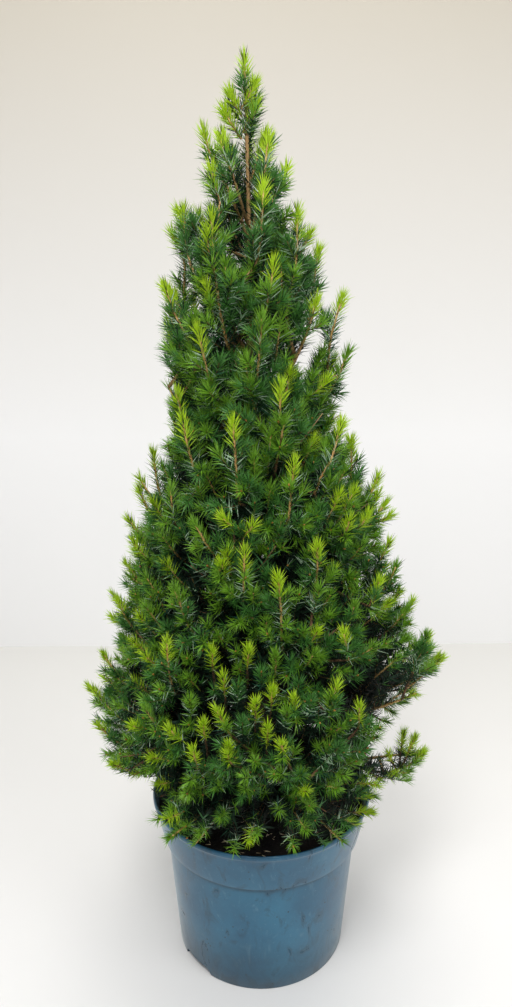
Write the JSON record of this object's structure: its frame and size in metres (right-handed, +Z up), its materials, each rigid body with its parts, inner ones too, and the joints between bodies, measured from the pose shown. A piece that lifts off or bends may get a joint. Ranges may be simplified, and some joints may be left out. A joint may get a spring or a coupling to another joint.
{
  "type": "potted dwarf conifer",
  "caption": "Dense cone-shaped dwarf spruce with upright needled shoots round one leaning trunk, growing in a plain round nursery pot with a broad rim band.",
  "frame": {"origin": "centre of the pot's flat underside, on the surface it stands on", "axes": "+Z up along the pot's axis, front of the plant towards -Y, +X to its right"},
  "size_m": [0.361, 0.3408, 0.886],
  "materials": {
    "pot_plastic": "satin, scuffed",
    "potting_soil": "rough, crumbly",
    "bark": "rough",
    "needles": "satin"
  },
  "bodies": {
    "root": {"bough_high_1": "bark", "bough_high_2": "bark", "bough_high_3": "bark", "bough_high_4": "bark", "bough_high_5": "bark", "bough_low_1": "bark", "bough_low_2": "bark", "bough_low_3": "bark", "bough_low_4": "bark", "bough_low_5": "bark", "bough_low_6": "bark", "bough_middle_1": "bark", "bough_middle_2": "bark", "bough_middle_3": "bark", "bough_middle_4": "bark", "bough_middle_5": "bark", "bough_skirt_1": "bark", "bough_skirt_2": "bark", "bough_skirt_3": "bark", "bough_skirt_4": "bark", "bough_skirt_5": "bark", "bough_skirt_6": "bark", "bough_upper_1": "bark", "bough_upper_2": "bark", "bough_upper_3": "bark", "bough_upper_4": "bark", "foliage_high_1": "needles", "foliage_high_2": "needles", "foliage_high_3": "needles", "foliage_high_4": "needles", "foliage_high_5": "needles", "foliage_leader": "needles", "foliage_low_1": "needles", "foliage_low_2": "needles", "foliage_low_3": "needles", "foliage_low_4": "needles", "foliage_low_5": "needles", "foliage_low_6": "needles", "foliage_middle_1": "needles", "foliage_middle_2": "needles", "foliage_middle_3": "needles", "foliage_middle_4": "needles", "foliage_middle_5": "needles", "foliage_skirt_1": "needles", "foliage_skirt_2": "needles", "foliage_skirt_3": "needles", "foliage_skirt_4": "needles", "foliage_skirt_5": "needles", "foliage_skirt_6": "needles", "foliage_spire_1": "needles", "foliage_spire_2": "needles", "foliage_spire_3": "needles", "foliage_spire_4": "needles", "foliage_upper_1": "needles", "foliage_upper_2": "needles", "foliage_upper_3": "needles", "foliage_upper_4": "needles", "pot": "pot_plastic", "soil": "potting_soil", "trunk": "bark"}
  },
  "joints": []
}
